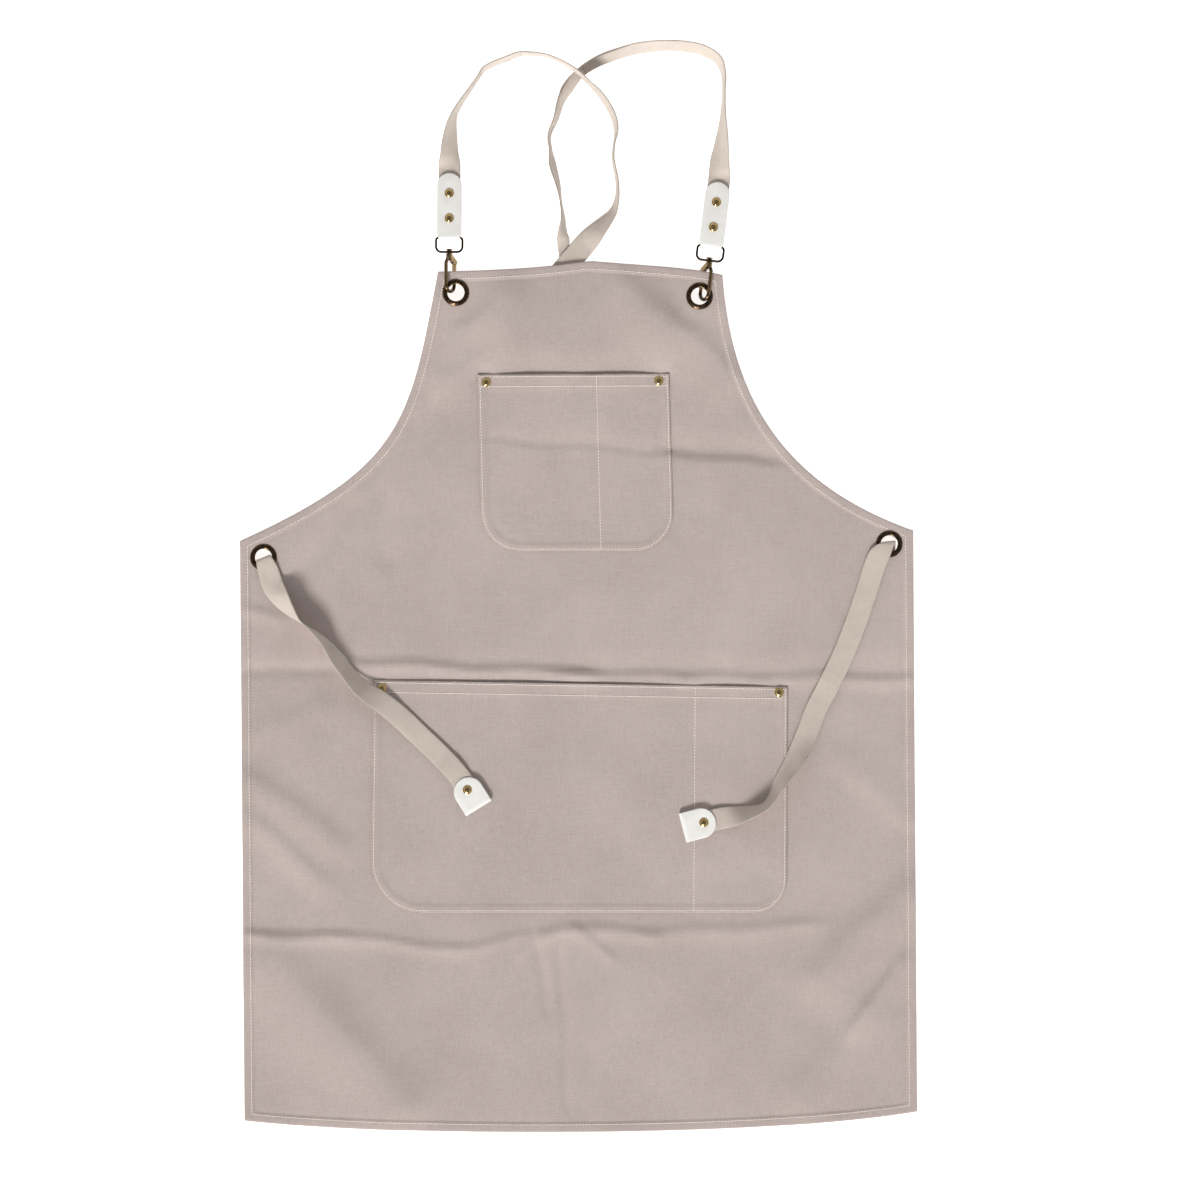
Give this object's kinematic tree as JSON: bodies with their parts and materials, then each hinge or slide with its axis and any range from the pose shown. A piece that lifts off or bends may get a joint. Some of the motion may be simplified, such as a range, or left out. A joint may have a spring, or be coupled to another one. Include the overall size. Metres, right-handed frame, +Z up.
{
  "type": "bib apron",
  "caption": "Cloth bib apron laid flat, with bib and hand pockets, crossed webbing straps clipped to eyelets by snap hooks, and leather tabs and tips.",
  "frame": {"origin": "middle of the footprint, on the surface the apron lies on", "axes": "+X to the right seen from above, +Y from the skirt's hem to the neck straps, +Z up out of the cloth"},
  "size_m": [0.677, 1.0908, 0.0306],
  "materials": {
    "canvas": "plain-weave cotton canvas, matt",
    "webbing": "herringbone cotton webbing, matt",
    "thread": "sewing thread",
    "leather": "smooth white leather",
    "antique_brass": "dark antique plating, worn bright on edges",
    "rivet_brass": "polished",
    "steel": "plain spring steel"
  },
  "bodies": {
    "root": {"apron_panel": "canvas", "bib_pocket": "canvas", "hand_pocket": "canvas", "hem_stitching": "thread", "bib_pocket_stitching": "thread", "hand_pocket_stitching": "thread", "grommet_bib_left": "antique_brass", "grommet_bib_right": "antique_brass", "grommet_waist_left": "antique_brass", "grommet_waist_right": "antique_brass", "washer_bib_left": "antique_brass", "washer_bib_right": "antique_brass", "washer_waist_left": "antique_brass", "washer_waist_right": "antique_brass", "bib_pocket_rivets": "rivet_brass", "bib_pocket_rivet_backs": "rivet_brass", "hand_pocket_rivets": "rivet_brass", "hand_pocket_rivet_backs": "rivet_brass", "strap_left_loop": "webbing", "strap_right_loop": "webbing", "strap_left_back": "webbing", "strap_right_back": "webbing", "strap_left_tie": "webbing", "strap_right_tie": "webbing", "tip_left": "leather", "tip_right": "leather", "tip_rivet_left": "rivet_brass", "tip_rivet_right": "rivet_brass", "tip_rivet_back_left": "rivet_brass", "tip_rivet_back_right": "rivet_brass"},
    "tab_left": {"tab_left": "leather", "tab_rivets_left": "rivet_brass", "tab_rivet_backs_left": "rivet_brass", "loop_left": "antique_brass", "strap_left_end": "webbing"},
    "hook_left": {"hook_left": "antique_brass", "gate_pin_left": "steel", "gate_spring_left": "steel"},
    "gate_left": {"gate_left": "antique_brass"},
    "tab_right": {"tab_right": "leather", "tab_rivets_right": "rivet_brass", "tab_rivet_backs_right": "rivet_brass", "loop_right": "antique_brass", "strap_right_end": "webbing"},
    "hook_right": {"hook_right": "antique_brass", "gate_pin_right": "steel", "gate_spring_right": "steel"},
    "gate_right": {"gate_right": "antique_brass"}
  },
  "joints": [
    {"name": "swivel_left", "type": "hinge", "parent": "root", "child": "tab_left", "pos_m": [-0.129, 0.3324, 0.0102], "axis": [0, 1, 0], "continuous": true},
    {"name": "hook_roll_left", "type": "hinge", "parent": "root", "child": "hook_left", "pos_m": [-0.129, 0.3324, 0.0102], "axis": [0, 1, 0], "range_deg": [0, 8]},
    {"name": "gate_left_open", "type": "hinge", "parent": "hook_left", "child": "gate_left", "pos_m": [-0.12412, 0.3236, 0.00324], "axis": [-0.8192, 0, -0.5736], "range_deg": [0, 20], "stiffness_Nm_per_rad": 0.02, "springref_deg": -20.05, "deforming": ["apron_panel"]},
    {"name": "swivel_right", "type": "hinge", "parent": "root", "child": "tab_right", "pos_m": [0.1304, 0.3239, 0.0102], "axis": [0.1219, 0.9925, 0], "continuous": true},
    {"name": "hook_roll_right", "type": "hinge", "parent": "root", "child": "hook_right", "pos_m": [0.1304, 0.3239, 0.0102], "axis": [0.1219, 0.9925, 0], "range_deg": [-8, 0]},
    {"name": "gate_right_open", "type": "hinge", "parent": "hook_right", "child": "gate_right", "pos_m": [0.12449, 0.31576, 0.00324], "axis": [-0.813, 0.0998, 0.5736], "range_deg": [0, 20], "stiffness_Nm_per_rad": 0.02, "springref_deg": -20.05, "deforming": ["apron_panel"]}
  ]
}
